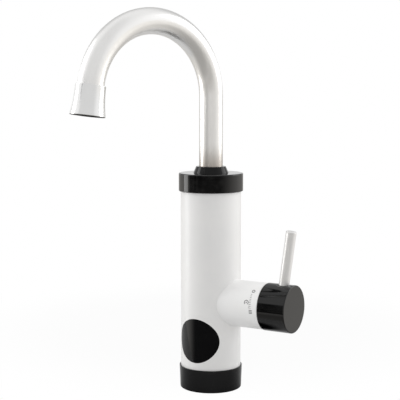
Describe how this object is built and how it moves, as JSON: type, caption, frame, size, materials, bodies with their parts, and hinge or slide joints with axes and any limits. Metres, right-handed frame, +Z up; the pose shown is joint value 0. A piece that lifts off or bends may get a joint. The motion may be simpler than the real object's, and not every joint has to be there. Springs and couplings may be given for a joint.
{
  "type": "electric instant water heater tap",
  "caption": "Standing kitchen tap with a white heater body, round display window, swivelling steel gooseneck spout and a side lever valve.",
  "frame": {"origin": "centre of the foot's underside, at the mouth of the water inlet", "axes": "+Z up along the body, display faces -Y, side arm and knob along +X"},
  "size_m": [0.1622, 0.182, 0.3754],
  "materials": {
    "white_shell": "smooth satin gloss white",
    "black_gloss": "high gloss black",
    "window": "high gloss black lens",
    "polished_steel": "polished stainless steel",
    "chrome": "satin chrome",
    "black_plastic": "moulded black",
    "grey_plastic": "glass filled engineering plastic",
    "brass": "machined",
    "steel": "plain stainless steel",
    "rubber": "moulded rubber",
    "ceramic": "lapped ceramic",
    "magnet": "sintered magnet",
    "circuit_board": "glass epoxy board",
    "component_plastic": "moulded case",
    "reed_glass": "glass capsule"
  },
  "bodies": {
    "housing": {"body_shell": "white_shell", "base_ring": "black_gloss", "top_cap": "black_gloss", "spout_collar": "black_gloss", "display_window": "window", "display_carrier": "black_plastic", "cable_gland": "black_plastic", "gland_nut": "black_plastic", "base_plate": "black_plastic", "flow_housing": "grey_plastic", "flow_cap": "grey_plastic", "cartridge_body": "grey_plastic", "slip_washer": "grey_plastic", "tank_lid": "grey_plastic", "inlet_connector": "brass", "inlet_locknut": "brass", "valve_body": "brass", "valve_lock_ring": "brass", "cartridge_nut": "brass", "coil_nuts": "brass", "base_screws": "steel", "carrier_screws": "steel", "board_screws": "steel", "piston_spring": "steel", "inlet_filter": "steel", "supply_tube": "steel", "heater_tube": "steel", "heater_tank": "steel", "heating_coil": "steel", "temperature_sensor": "steel", "foot_seal": "rubber", "inlet_seal": "rubber", "cartridge_seal": "rubber", "lid_seal": "rubber", "window_gasket": "rubber", "fixed_disc": "ceramic", "display_board": "circuit_board", "control_board": "circuit_board", "display_digits": "component_plastic", "power_relay": "component_plastic", "terminal_block": "component_plastic", "thermal_cutout": "component_plastic", "reed_switch": "reed_glass"},
    "spout": {"spout_tube": "polished_steel", "spout_foot": "brass", "spout_o_rings": "rubber", "aerator_housing": "chrome", "aerator_washer": "rubber", "aerator_insert": "black_plastic"},
    "handle": {"knob": "black_gloss", "lever_pin": "polished_steel", "grub_screw": "steel", "valve_stem": "brass", "stem_o_ring": "rubber", "moving_disc": "ceramic"},
    "piston": {"flow_piston": "grey_plastic", "piston_magnet": "magnet"}
  },
  "joints": [
    {"name": "spout_swivel", "type": "hinge", "parent": "housing", "child": "spout", "pos_m": [0, 0, 0.2182], "axis": [0, 0, 1], "continuous": true},
    {"name": "handle_turn", "type": "hinge", "parent": "housing", "child": "handle", "pos_m": [0.0644, 0, 0.088], "axis": [1, 0, 0], "range_deg": [-90, 90]},
    {"name": "piston_lift", "type": "slide", "parent": "housing", "child": "piston", "axis": [0, 0, 1], "range_m": [0, 0.005], "stiffness_N_per_m": 80, "springref_m": -0.004, "deforming": ["piston_spring"]}
  ]
}
